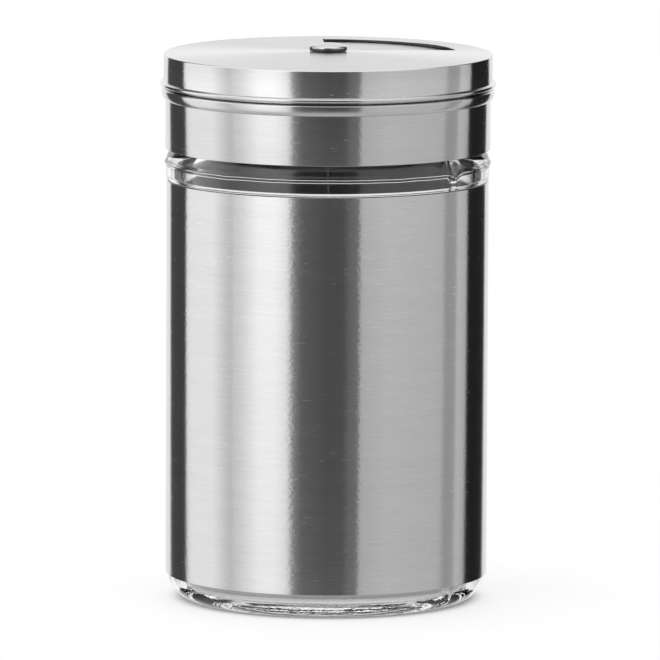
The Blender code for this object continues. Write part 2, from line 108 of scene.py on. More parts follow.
# The mould's ring line runs round the widest ring, with a weaker one on it.
# Each is (height over the ring, proud, half width).
RING_LINES = ((0.15 * MM, 0.2 * MM, 0.6 * MM), (0.5 * MM, 0.09 * MM, 0.17 * MM))
RING_WANDER = 0.08 * MM  # how far the ring lines wander up and down
RING_DIP = 0.7 * MM  # how far they dip where the mould's halves meet
RING_DIP_DEG = 2.5
NECK_WALL = 2.1 * MM
THROAT_DROP = 1.8 * MM  # the bore starts to narrow this far under the neck's foot
THROAT_HEIGHT = 3.2 * MM
RIM_ROUND = 0.7 * MM
MOULD_SEAM_DEG = -39  # the mould's parting line, and another opposite it
MOULD_SEAM_PROUD = 0.1 * MM
MOULD_SEAM_WIDTH = 0.5 * MM
GLASS_WAVE = 0.05 * MM  # how far the pressed surface wanders from round
GLASS_WAVE_LENGTH = 9 * MM

# Screw thread.
THREAD_PITCH = 4.0 * MM
THREAD_TURNS = 1.15
THREAD_HALF_WIDTH = 1.0 * MM
THREAD_HEIGHT = 0.9 * MM
THREAD_START = 3.6 * MM
THREAD_CLEARANCE = 0.3 * MM
THREAD_FADE_TURNS = 0.08
WEB_THICKNESS = 1.0 * MM

# Lid shell.
BEAD_HEIGHT = 2.05 * MM
BEAD_CROWN = 0.45 * MM  # from the bead's top to its widest ring
BEAD_FLANK = 1.45 * MM  # from there down to the skirt
NECK_INDENT = 0.4 * MM
DECK_CORNER = 0.8 * MM

# Dial.
DIAL_SIDE_GAP = 0.3 * MM
DIAL_CORNER = 0.22 * MM
DIAL_FLARE = 0.1 * MM
DIAL_BEAD_GAP = 0.2 * MM
LIP_PROUD = 0.4 * MM
LIP_LIFT = 0.2 * MM  # the rolled lip ends this far over the frame's edge
LIP_FLARE_HEIGHT = 0.12 * MM  # over which the wall swings out to the lip
LIP_FLARE_POWER = 1.5
LIP_ROUND = (0.3 * MM, 0.32 * MM)
LIP_SLOPE_DEG = 70

# Window and sieve, in degrees from +X towards +Y.
WINDOW_INNER_RADIUS = 4.7 * MM
WINDOW_OUTER_RADIUS = 20.5 * MM
HOLES_OUTER_RADIUS = 19.9 * MM  # the deck's holes keep inside it
WINDOW_START_DEG = 12
WINDOW_END_DEG = 92.5
WINDOW_CORNER = 0.8 * MM
QUARTER_DEG = 90
FINE_HOLE_RADIUS = 0.8 * MM
FINE_FIRST_COUNT = 2
FINE_ROW_SHARES = (0.18, 0.42, 0.66, 0.9)
COARSE_HOLE_RADIUS = 1.7 * MM
COARSE_FIRST_COUNT = 1
COARSE_ROW_SHARES = (0.2, 0.5, 0.83)
ROW_SPREAD_SHARE = 0.74
POUR_INSET = 1.3 * MM
POUR_CORNER = 1.2 * MM

# Rivet and washers.
HEAD_RIM = 0.5 * MM
HEAD_ROUND = 0.12 * MM
TAIL_RADIUS = 2.4 * MM
TAIL_HEIGHT = 0.8 * MM
BACKING_THICKNESS = 0.6 * MM
WAVE_SHEET = 0.3 * MM
WAVE_COUNT = 3

# Levels and radii that the frame gives.
sleeve_radius = reach_of("steel_sleeve")
sleeve_bottom, sleeve_top = levels_of("steel_sleeve")
shoulder_radius = reach_of("glass_jar")
rim_top = levels_of("glass_jar")[1]
seal_radius = reach_of("seal_ring")
seal_bottom, seal_top = levels_of("seal_ring")
rib_radius = reach_of("thread_insert")
insert_bottom, insert_top = levels_of("thread_insert")
bead_radius = reach_of("lid_shell")
skirt_bottom, deck_peak = levels_of("lid_shell")
lip_radius = reach_of("dial_cap")
dial_edge, dial_peak = levels_of("dial_cap")
head_radius = reach_of("rivet")
tail_bottom, head_peak = levels_of("rivet")
backing_radius = reach_of("backing_washer")
backing_top = levels_of("backing_washer")[1]
wave_radius = reach_of("wave_washer")
wave_bottom, wave_top = levels_of("wave_washer")

# Radii that follow.
dial_radius = lip_radius - LIP_PROUD - DIAL_FLARE
dial_bore = dial_radius - DIAL_SHEET
lid_neck_radius = dial_bore - DIAL_SIDE_GAP
lid_neck_bore = lid_neck_radius - LID_SHEET
skirt_radius = lid_neck_radius + NECK_INDENT
skirt_bore = skirt_radius - LID_SHEET
crown_radius = lid_neck_radius - DECK_CORNER
insert_radius = skirt_bore - SEAT_GAP
insert_bore = seal_radius + SEAT_GAP
neck_radius = insert_bore - THREAD_CLEARANCE - THREAD_HEIGHT
neck_bore = neck_radius - NECK_WALL
seal_bore = neck_bore + RUNNING_GAP
sleeve_bore = sleeve_radius - SLEEVE_SHEET
panel_radius = sleeve_bore - SEAT_GAP
heel_radius = sleeve_bore - HEEL_SLIP
jar_bore = panel_radius - GLASS_WALL

# Heights that follow.
crown_peak_rise = CROWN_RISE * (1 - (SHANK_HOLE_RADIUS / crown_radius) ** 2)
deck_top = deck_peak - crown_peak_rise
dial_top = dial_peak - crown_peak_rise
dial_underside = dial_top - DIAL_SHEET
dial_bottom = dial_edge + LIP_LIFT
bead_top = dial_bottom - DIAL_BEAD_GAP
bead_middle = bead_top - BEAD_HEIGHT / 2
jar_floor = PUNT_DEPTH + FLOOR_THICKNESS
shoulder_foot = sleeve_top + SHOULDER_SEAT
shoulder_widest = sleeve_top + SHOULDER_FOOT
neck_foot = shoulder_widest + SHOULDER_RISE
glass_thread_start = neck_foot + THREAD_START
insert_thread_start = glass_thread_start - THREAD_PITCH / 2
web_bottom = insert_top - WEB_THICKNESS
head_underside = dial_top + CROWN_RISE + RUNNING_GAP
tail_top = tail_bottom + TAIL_HEIGHT
window_middle_deg = (WINDOW_START_DEG + WINDOW_END_DEG) / 2


def arc(centre, radii, start_deg, end_deg, steps):
    """Points along an ellipse's arc, in degrees anticlockwise from the outward direction."""
    points = []
    for step in range(steps + 1):
        angle = math.radians(start_deg + (end_deg - start_deg) * step / steps)
        points.append((centre[0] + radii[0] * math.cos(angle), centre[1] + radii[1] * math.sin(angle)))
    return points


def fine_rows(profile):
    """The profile with its long straight runs cut into rows."""
    points = [profile[0]]
    for start, end in zip(profile, profile[1:]):
        count = max(1, math.ceil(math.dist(start, end) / ROW_STEP))
        for step in range(1, count + 1):
            share = step / count
            points.append((start[0] + (end[0] - start[0]) * share, start[1] + (end[1] - start[1]) * share))
    return points


def crown_height(edge_height, radius):
    """Height of the domed deck or dial at a radius."""
    return edge_height + CROWN_RISE * max(0, 1 - (radius / crown_radius) ** 2)


def crown_line(edge_height, steps=32):
    """The domed line of the deck or the dial, from the rivet's hole out to where the dome ends."""
    points = []
    for step in range(steps + 1):
        radius = SHANK_HOLE_RADIUS + (crown_radius - SHANK_HOLE_RADIUS) * step / steps
        points.append((radius, crown_height(edge_height, radius)))
    return points


def finished_mesh(name, work):
    """A smooth-shaded object from a bmesh, with sharp edges where its faces fold."""
    mesh = bpy.data.meshes.new(name)
    work.to_mesh(mesh)
    work.free()
    piece = bpy.data.objects.new(name, mesh)
    bpy.context.scene.collection.objects.link(piece)
    mesh.shade_smooth()
    mesh.set_sharp_from_angle(angle=SHARP_ANGLE)
    return piece


def turned(name, profile, closed=True, segments=SEGMENTS, relief=None, opening=0.0):
    """A turned piece.

    relief(angle, radius, height) adds to a point's radius, and opening is the angle of a slit at the back.
    """
    work = bmesh.new()
    column_count = segments + 1 if opening else segments
    start_angle = math.pi / 2 + opening / 2 if opening else 0
    angles = [start_angle + (math.tau - opening) * index / segments for index in range(column_count)]
    if opening:
        angles.insert(1, start_angle + SEAM_ROUND / profile[0][0])
        angles.insert(-1, angles[-1] - SEAM_ROUND / profile[0][0])
        column_count = len(angles)
    poles = {}
    for row, (radius, height) in enumerate(profile):
        if radius == 0:
            poles[row] = work.verts.new((0, 0, height))
    columns = []
    for angle in angles:
        column = []
        for row, (radius, height) in enumerate(profile):
            if row in poles:
                column.append(poles[row])
                continue
            reach = radius + relief(angle, radius, height) if relief else radius
            column.append(work.verts.new((reach * math.cos(angle), reach * math.sin(angle), height)))
        columns.append(column)
    rows = len(profile)
    row_spans = rows if closed else rows - 1
    for index in range(column_count - 1 if opening else column_count):
        here = columns[index]
        beside = columns[(index + 1) % column_count]
        for row in range(row_spans):
            below = (row + 1) % rows
            corners = [here[row], here[below], beside[below], beside[row]]
            work.faces.new(list(dict.fromkeys(corners)))
    if opening:
        work.faces.new(list(reversed(columns[0])))
        work.faces.new(columns[-1])
    return finished_mesh(name, work)


def sector(inner_radius, outer_radius, start_deg, end_deg, corner):
    """A ring sector's outline with rounded corners, anticlockwise, as (x, y) points."""
    arc_steps = 48
    corner_steps = 8
    outer_turn = math.degrees(math.asin(corner / (outer_radius - corner)))
    inner_turn = math.degrees(math.asin(corner / (inner_radius + corner)))
    outline = []

    def fillet(distance, direction_deg, from_deg, to_deg):
        direction = math.radians(direction_deg)
        middle = (distance * math.cos(direction), distance * math.sin(direction))
        outline.extend(arc(middle, (corner, corner), from_deg, to_deg, corner_steps))

    first_outer = start_deg + outer_turn
    last_outer = end_deg - outer_turn
    first_inner = start_deg + inner_turn
    last_inner = end_deg - inner_turn
    fillet(outer_radius - corner, first_outer, start_deg - QUARTER_DEG, first_outer)
    outline.extend(arc((0, 0), (outer_radius, outer_radius), first_outer, last_outer, arc_steps)[1:-1])
    fillet(outer_radius - corner, last_outer, last_outer, end_deg + QUARTER_DEG)
    fillet(inner_radius + corner, last_inner, end_deg + QUARTER_DEG, last_inner + 2 * QUARTER_DEG)
    outline.extend(arc((0, 0), (inner_radius, inner_radius), last_inner, first_inner, arc_steps // 4)[1:-1])
    fillet(inner_radius + corner, first_inner, first_inner + 2 * QUARTER_DEG, start_deg + 3 * QUARTER_DEG)
    return outline


def grown(outline, distance):
    """An anticlockwise outline moved outwards by a distance."""
    moved = []
    for index, (x, y) in enumerate(outline):
        before = outline[index - 1]
        after = outline[(index + 1) % len(outline)]
        along = Vector((after[0] - before[0], after[1] - before[1])).normalized()
        moved.append((x + along.y * distance, y - along.x * distance))
    return moved


def cutter(name, outlines, edge_height):
    """A tool that cuts outlines through the domed sheet and breaks the upper edge of each cut."""
    work = bmesh.new()
    spreads_and_lifts = (
        (0, -DIAL_SHEET - CUT_OVERRUN),
        (0, -EDGE_ROUND),
        (EDGE_ROUND, 0),
        (CUT_OVERRUN, CUT_OVERRUN),
    )
    for outline in outlines:
        rings = []
        for spread, lift in spreads_and_lifts:
            ring = []
            for x, y in grown(outline, spread):
                ring.append(work.verts.new((x, y, crown_height(edge_height, math.hypot(x, y)) + lift)))
            rings.append(ring)
        for lower, upper in zip(rings, rings[1:]):
            for index in range(len(outline)):
                after = (index + 1) % len(outline)
                work.faces.new((lower[index], lower[after], upper[after], upper[index]))
        work.faces.new(list(reversed(rings[0])))
        work.faces.new(rings[-1])
    return finished_mesh(name, work)


def cut(piece, tool):
    """Cuts the tool out of the piece and removes the tool."""
    boolean = piece.modifiers.new("cut", "BOOLEAN")
    boolean.operation = "DIFFERENCE"
    boolean.solver = "EXACT"
    boolean.object = tool
    bpy.context.view_layer.update()
    evaluated = piece.evaluated_get(bpy.context.evaluated_depsgraph_get())
    mesh = bpy.data.meshes.new_from_object(evaluated)
    piece.modifiers.clear()
    piece.data = mesh
    mesh.shade_smooth()
    mesh.set_sharp_from_angle(angle=SHARP_ANGLE)
    bpy.data.objects.remove(tool)


def thread_ridge(angle, height, start):
    """How far the screw thread stands out of its wall at a place."""
    turn = angle / math.tau % 1
    strongest = 0
    for lap in (0, 1):
        passed = turn + lap
        off = (height - start - THREAD_PITCH * passed) / THREAD_HALF_WIDTH
        if passed < THREAD_TURNS and abs(off) < 1:
            fade = min(1, passed / THREAD_FADE_TURNS, (THREAD_TURNS - passed) / THREAD_FADE_TURNS)
            rounded = math.sin(math.pi / 2 * fade) * math.cos(math.pi / 2 * off) ** 0.8
            strongest = max(strongest, THREAD_HEIGHT * rounded)
    return strongest


def ring_line(height):
    """How far the mould's ring lines stand out at a height."""
    proud = 0
    for over, reach, half_width in RING_LINES:
        off = (height - shoulder_widest - over) / half_width
        if abs(off) < 1:
            proud = max(proud, reach * math.cos(math.pi / 2 * off) ** 2)
    return proud


def glass_relief(angle, radius, height):
    """The jar's thread, the mould's parting lines and the slow waves of pressed glass."""
    x = radius * math.cos(angle)
    y = radius * math.sin(angle)
    wave = noise.noise(Vector((x, y, height)) / GLASS_WAVE_LENGTH) * GLASS_WAVE
    if radius < neck_radius - RIM_ROUND or height < FOOT_ROUND:
        return wave
    if height > neck_foot:
        return thread_ridge(angle, height, glass_thread_start)
    from_seam = math.remainder(angle - math.radians(MOULD_SEAM_DEG), math.pi)
    seam = math.exp(-((from_seam * radius / MOULD_SEAM_WIDTH) ** 2)) * MOULD_SEAM_PROUD
    seam *= 1 + noise.noise(Vector((0, from_seam * radius, height)) / MOULD_SEAM_WIDTH)
    dip = math.exp(-((from_seam / math.radians(RING_DIP_DEG)) ** 2)) * RING_DIP
    wander = noise.noise(Vector((x, y, 0)) / GLASS_WAVE_LENGTH * 3) * RING_WANDER
    return wave + seam + ring_line(height + dip + wander)


def glass_profile():
    """Section of the jar, from the middle of its floor up the inside, over the rim and down to the punt."""
    inside = [(0, jar_floor)]
    floor_corner = (FLOOR_CORNER, FLOOR_CORNER)
    inside += arc((jar_bore - FLOOR_CORNER, jar_floor + FLOOR_CORNER), floor_corner, -90, 0, 16)
    throat_low = neck_foot - THROAT_DROP
    for step in range(THROAT_STEPS + 1):
        share = step / THROAT_STEPS
        narrowed = (jar_bore - neck_bore) * (1 - math.cos(math.pi * share)) / 2
        inside.append((jar_bore - narrowed, throat_low + THROAT_HEIGHT * share))
    rim = arc((neck_bore + RIM_ROUND, rim_top - RIM_ROUND), (RIM_ROUND, RIM_ROUND), 180, 90, 8)
    rim += arc((neck_radius - RIM_ROUND, rim_top - RIM_ROUND), (RIM_ROUND, RIM_ROUND), 90, 0, 8)
    neck = fine_rows([rim[-1], (neck_radius, neck_foot)])[1:-1]
    shoulder_step = shoulder_radius - neck_radius
    shoulder = arc((neck_radius, shoulder_widest), (shoulder_step, SHOULDER_RISE), 90, 0, SHOULDER_STEPS)
    chamfer_top = sleeve_top + CHAMFER_TOP
    for step in range(1, SHOULDER_STEPS + 1):
        share = step / SHOULDER_STEPS
        height = shoulder_widest + (chamfer_top - shoulder_widest) * share
        shoulder.append((shoulder_radius - SHOULDER_TUCK * share**2, height))
    radius = shoulder_radius - SHOULDER_TUCK
    drop = (CHAMFER_TOP - CHAMFER_BOTTOM) / CHAMFER_STEPS
    first_slope, last_slope = CHAMFER_SLOPES_DEG
    for step in range(1, CHAMFER_STEPS + 1):
        slope_deg = first_slope + (last_slope - first_slope) * step / CHAMFER_STEPS
        radius -= drop * math.tan(math.radians(slope_deg))
        shoulder.append((radius, chamfer_top - drop * step))
    corner_middle = (radius - CHAMFER_ROUND[0], shoulder_foot + CHAMFER_ROUND[1])
    shoulder += arc(corner_middle, CHAMFER_ROUND, -20, -90, 8)
    wall = fine_rows([(panel_radius, shoulder_foot), (panel_radius, sleeve_bottom + HEEL_TAPER)])
    heel_size = (heel_radius - FOOT_RADIUS, sleeve_bottom)
    heel = arc((FOOT_RADIUS, sleeve_bottom), heel_size, 0, -90, 32)
    foot_inner = FOOT_RADIUS - FOOT_WIDTH
    punt = arc((foot_inner, PUNT_DEPTH), (foot_inner / 4, PUNT_DEPTH), -90, -180, 12)
    punt += [(0, PUNT_DEPTH)]
    return inside + rim + neck + shoulder + wall + heel + punt


def sleeve_profile():
    """Section of the sleeve's sheet, its edges rounded."""
    corner = (EDGE_ROUND, EDGE_ROUND)
    outer = sleeve_radius - EDGE_ROUND
    inner = sleeve_bore + EDGE_ROUND
    high = sleeve_top - EDGE_ROUND
    low = sleeve_bottom + EDGE_ROUND
    profile = arc((outer, high), corner, 90, 0, 4)
    profile += arc((outer, low), corner, 0, -90, 4)
    profile += arc((inner, low), corner, -90, -180, 4)
    profile += arc((inner, high), corner, 180, 90, 4)
    return profile


def seam_relief(angle, radius, height):
    """The sleeve's two edges are rounded where they meet at the back."""
    from_seam = abs(math.remainder(angle - math.pi / 2, math.tau)) * radius
    return -SEAM_ROUND if radius > sleeve_radius - SLEEVE_SHEET / 2 and from_seam < SEAM_ROUND / 2 else 0


def lid_profile():
    """Section of the lid shell: down the outside, round the skirt's edge and up the inside."""
    bead_reach = bead_radius - lid_neck_radius
    bead_half = BEAD_HEIGHT / 2
    bead_end_deg = -math.degrees(math.acos((skirt_radius - lid_neck_radius) / bead_reach))
    corner_middle = (crown_radius, deck_top - DECK_CORNER)
    inner_corner = DECK_CORNER - LID_SHEET
    edge = (EDGE_ROUND, EDGE_ROUND)
    outside = crown_line(deck_top)
    outside += arc(corner_middle, (DECK_CORNER, DECK_CORNER), 90, 0, 12)[1:]
    bead_widest = bead_top - BEAD_CROWN
    outside += arc((lid_neck_radius, bead_widest), (bead_reach, BEAD_CROWN), 90, 0, 24)
    outside += arc((skirt_radius, bead_widest), (bead_radius - skirt_radius, BEAD_FLANK), 0, -90, 32)[1:]
    outside += arc((skirt_radius - EDGE_ROUND, skirt_bottom + EDGE_ROUND), edge, 0, -90, 4)
    inside = arc((skirt_bore + EDGE_ROUND, skirt_bottom + EDGE_ROUND), edge, -90, -180, 4)
    hollow = (bead_reach, bead_half - LID_SHEET)
    inside += arc((lid_neck_bore, bead_middle), hollow, bead_end_deg, 90, 24)
    inside += arc(corner_middle, (inner_corner, inner_corner), 0, 90, 8)[:-1]
    inside += reversed(crown_line(deck_top - LID_SHEET))
    return outside + inside


def dial_profile():
    """Section of the dial: over the crown, down its wall, round the rolled lip and up the inside."""
    corner_middle = (dial_radius - DIAL_CORNER, dial_top - DIAL_CORNER)
    lip_middle = (lip_radius - LIP_ROUND[0], dial_bottom + LIP_ROUND[1])
    lip_edge = arc(lip_middle, LIP_ROUND, LIP_SLOPE_DEG, -90, 16)
    outside = crown_line(dial_top, 48)
    outside += arc(corner_middle, (DIAL_CORNER, DIAL_CORNER), 90, 0, 12)
    flare_reach = lip_edge[0][0] - dial_radius
    for step in range(LIP_STEPS):
        share = step / LIP_STEPS
        height = lip_edge[0][1] + LIP_FLARE_HEIGHT * (1 - share)
        outside.append((dial_radius + flare_reach * share**LIP_FLARE_POWER, height))
    outside += lip_edge
    inside = [(dial_bore + DIAL_FLARE, dial_bottom), (dial_bore, dial_bottom + LIP_FLARE_HEIGHT)]
    inside += [(dial_bore, dial_underside)]
    inside += reversed(crown_line(dial_underside, 48))
    return outside + inside


def insert_profile():
    """Section of the plastic screw ring, with its web over the seal and the rib that snaps into the bead."""
    upper_radius = lid_neck_bore - SEAT_GAP
    hollow_half = BEAD_HEIGHT / 2 - LID_SHEET
    wall = fine_rows([(insert_bore, insert_bottom), (insert_bore, web_bottom)])
    profile = [(seal_bore, insert_top), (upper_radius, insert_top), (upper_radius, bead_middle + hollow_half)]
    profile += [(rib_radius, bead_middle + hollow_half / 2), (rib_radius, bead_middle - hollow_half / 2)]
    profile += [(insert_radius, bead_middle - hollow_half), (insert_radius, insert_bottom)]
    profile += wall
    profile += [(seal_bore, web_bottom)]
    return profile


def insert_relief(angle, radius, height):
    """The thread inside the screw ring stands inwards."""
    if abs(radius - insert_bore) > RUNNING_GAP or not insert_bottom < height < web_bottom:
        return 0
    return -thread_ridge(angle, height, insert_thread_start)


def rivet_profile():
    """Section of the rivet: domed head, rim, shank and closed tail."""
    dome = head_peak - head_underside - HEAD_RIM
    profile = arc((0, head_underside + HEAD_RIM), (head_radius, dome), 90, 0, 24)
    edge_middle = (head_radius - HEAD_ROUND, head_underside + HEAD_ROUND)
    profile += arc(edge_middle, (HEAD_ROUND, HEAD_ROUND), 0, -90, 6)
    profile += [(SHANK_RADIUS, head_underside), (SHANK_RADIUS, tail_top)]
    profile += arc((TAIL_RADIUS - HEAD_ROUND, tail_top - HEAD_ROUND), (HEAD_ROUND, HEAD_ROUND), 90, 0, 4)
    profile += arc((0, tail_top - TAIL_HEIGHT / 2), (TAIL_RADIUS, TAIL_HEIGHT / 2), 0, -90, 12)
    return profile


def washer_profile(inner, outer, bottom, top, edge):
    """Section of a flat ring with rounded edges."""
    corner = (edge, edge)
    profile = arc((outer - edge, top - edge), corner, 90, 0, 4)
    profile += arc((outer - edge, bottom + edge), corner, 0, -90, 4)
    profile += arc((inner + edge, bottom + edge), corner, -90, -180, 4)
    profile += arc((inner + edge, top - edge), corner, 180, 90, 4)
    return profile


def hole_outlines(row_shares, first_count, radius, middle_deg):
    """Round holes of a sieve pattern that fits inside the window's outline."""
    outlines = []
    half_spread = (WINDOW_END_DEG - WINDOW_START_DEG) / 2 * ROW_SPREAD_SHARE
    for row, depth_share in enumerate(row_shares):
        distance = WINDOW_INNER_RADIUS + (HOLES_OUTER_RADIUS - WINDOW_INNER_RADIUS) * depth_share
        count = first_count + row
        for index in range(count):
            across = 0 if count == 1 else 2 * index / (count - 1) - 1
            angle = math.radians(middle_deg + across * half_spread)
            centre = (distance * math.cos(angle), distance * math.sin(angle))
            outlines.append(arc(centre, (radius, radius), 0, 360, HOLE_SEGMENTS)[:-1])
    return outlines


def deck_outlines():
    """All the holes of the lid's deck: the fine sieve, the coarse sieve and the pouring hole."""
    fine_middle = window_middle_deg + QUARTER_DEG
    coarse_middle = window_middle_deg + 2 * QUARTER_DEG
    outlines = hole_outlines(FINE_ROW_SHARES, FINE_FIRST_COUNT, FINE_HOLE_RADIUS, fine_middle)
    outlines += hole_outlines(COARSE_ROW_SHARES, COARSE_FIRST_COUNT, COARSE_HOLE_RADIUS, coarse_middle)
    inset_deg = math.degrees(2 * POUR_INSET / (WINDOW_INNER_RADIUS + HOLES_OUTER_RADIUS))
    pour = sector(
        WINDOW_INNER_RADIUS + POUR_INSET,
        HOLES_OUTER_RADIUS - POUR_INSET,
        WINDOW_START_DEG + 3 * QUARTER_DEG + inset_deg,
        WINDOW_END_DEG + 3 * QUARTER_DEG - inset_deg,
        POUR_CORNER,
    )
    return outlines + [pour]


def add_node(tree, kind, inputs=None, **settings):
    """A shader node with its settings, each input given as a value or as another node's output."""
    node = tree.nodes.new(kind)
    for key, value in settings.items():
        setattr(node, key, value)
    for key, value in (inputs or {}).items():
        if isinstance(value, bpy.types.NodeSocket):
            tree.links.new(value, node.inputs[key])
        else:
            node.inputs[key].default_value = value
    return node


def maths(tree, operation, *values):
    """The output of a math node."""
    return add_node(tree, "ShaderNodeMath", dict(enumerate(values)), operation=operation).outputs[0]


def ranged(tree, value, low, high):
    """A 0 to 1 value spread over a range."""
    return add_node(tree, "ShaderNodeMapRange", {"Value": value, "To Min": low, "To Max": high}).outputs[0]


def sine(angle_deg):
    """Sine of an angle in degrees."""
    return math.sin(math.radians(angle_deg))


def between(tree, value, start, end, low=0.0, high=1.0):
    """A soft step of a value from low at the start to high at the end."""
    spread = {"Value": value, "From Min": start, "From Max": end, "To Min": low, "To Max": high}
    return add_node(tree, "ShaderNodeMapRange", spread, interpolation_type="SMOOTHSTEP").outputs[0]


def blended(tree, share, first, second):
    """A value between two, by a 0 to 1 share."""
    return add_node(tree, "ShaderNodeMix", {"Factor": share, "A": first, "B": second}).outputs["Result"]


def bumped(tree, height, strength, depth):
    """A normal that follows a height."""
    settings = {"Strength": strength, "Distance": depth, "Height": height}
    return add_node(tree, "ShaderNodeBump", settings).outputs[0]


def tinted(tree, share, first, second):
    """A colour between two, by a 0 to 1 share."""
    mix = add_node(tree, "ShaderNodeMix", {"Factor": share}, data_type="RGBA")
    mix.inputs["A"].default_value = (*first, 1)
    mix.inputs["B"].default_value = (*second, 1)
    return mix.outputs["Result"]


def new_material(name):
    """An empty node material with a Principled shader, as (material, tree, shader)."""
    material = bpy.data.materials.new(name)
    material.use_nodes = True
    tree = material.node_tree
    return material, tree, tree.nodes["Principled BSDF"]


def brush_lines(tree, sweep, per_metre, detail):
    """Noise drawn out round the axis: it changes with the sweep round a turn and per_metre across."""
    place = add_node(tree, "ShaderNodeTexCoord").outputs["Object"]
    parts = add_node(tree, "ShaderNodeSeparateXYZ", {0: place}).outputs
    flat = add_node(tree, "ShaderNodeCombineXYZ", {0: parts[0], 1: parts[1]}).outputs[0]
    radius = add_node(tree, "ShaderNodeVectorMath", {0: flat}, operation="LENGTH").outputs["Value"]
    heading = add_node(tree, "ShaderNodeVectorMath", {0: flat}, operation="NORMALIZE").outputs[0]
    swept = add_node(tree, "ShaderNodeVectorMath", {0: heading, "Scale": sweep}, operation="SCALE").outputs[0]
    across = maths(tree, "MULTIPLY", maths(tree, "SUBTRACT", parts[2], radius), per_metre)
    lift = add_node(tree, "ShaderNodeCombineXYZ", {2: across}).outputs[0]
    point = add_node(tree, "ShaderNodeVectorMath", {0: swept, 1: lift}, operation="ADD").outputs[0]
    settings = {"Vector": point, "Scale": 1.0, "Detail": detail, "Roughness": 0.6}
    return add_node(tree, "ShaderNodeTexNoise", settings).outputs[0]


def axis_radius(tree):
    """The distance of a place from the shaker's axis."""
    place = add_node(tree, "ShaderNodeTexCoord").outputs["Object"]
    parts = add_node(tree, "ShaderNodeSeparateXYZ", {0: place}).outputs
    flat = add_node(tree, "ShaderNodeCombineXYZ", {0: parts[0], 1: parts[1]}).outputs[0]
    return add_node(tree, "ShaderNodeVectorMath", {0: flat}, operation="LENGTH").outputs["Value"]


def inside_shade_mask(tree):
    """1 on the inner face of the sleeve's sheet, which is painted a darker grey as the shade inside the
    sleeve.
    """
    return between(tree, axis_radius(tree), sleeve_radius - SLEEVE_SHEET / 2, sleeve_bore)


def cut_wall_shade_mask(tree):
    """1 on the punched walls of the window and of the sieve's holes, which are painted near black as the
    shadow in the cuts.
    """
    normal = add_node(tree, "ShaderNodeTexCoord").outputs["Normal"]
    upward = add_node(tree, "ShaderNodeSeparateXYZ", {0: normal}).outputs[2]
    upright = between(tree, maths(tree, "ABSOLUTE", upward), 0.6, 0.3)
    reach = WINDOW_OUTER_RADIUS + DIAL_CORNER
    inward = between(tree, axis_radius(tree), reach, reach - DIAL_CORNER / 2)
    return maths(tree, "MULTIPLY", upright, inward)


def rim_shade_mask(tree):
    """1 on the rivet's rim and below it, which are painted near black as the shadow under the head."""
    place = add_node(tree, "ShaderNodeTexCoord").outputs["Object"]
    height = add_node(tree, "ShaderNodeSeparateXYZ", {0: place}).outputs[2]
    return between(tree, height, head_underside + HEAD_RIM, head_underside + HEAD_RIM - HEAD_ROUND)


# Brushing, each as (changes round a turn, changes a metre across the lines, detail).
LINES = (5, 6500, 3)
BANDS = (1.5, 450, 2)
GRAIN = (32, 2600, 1)
NICKS = (12, 4200, 1)
LINE_SHARE = 0.6  # of the lines in the steel's shade, and the bands have the rest
GRAIN_DEPTH = 4  # as many times as deep as the lines
SCRATCH_RANGE = (0.65, 0.8)  # over which the nicks turn into a scratch
SCRATCH_DEPTH = 0.8
SCRATCH_SHADE = 0.5
SCRATCH_ROUGHNESS = 0.1  # how much rougher a scratch is than the sheet
DARKEST_SHARE = 0.87
LIGHTEST_SHARE = 1.1
ROUGHNESS_SPREAD = 0.15
# Painted shade: near-black steel for the punched walls and the rivet's rim, where shadow falls.
PAINTED_SHADE_STEEL = (0.1, 0.1, 0.1)
DULL_ROUGHNESS = 0.5


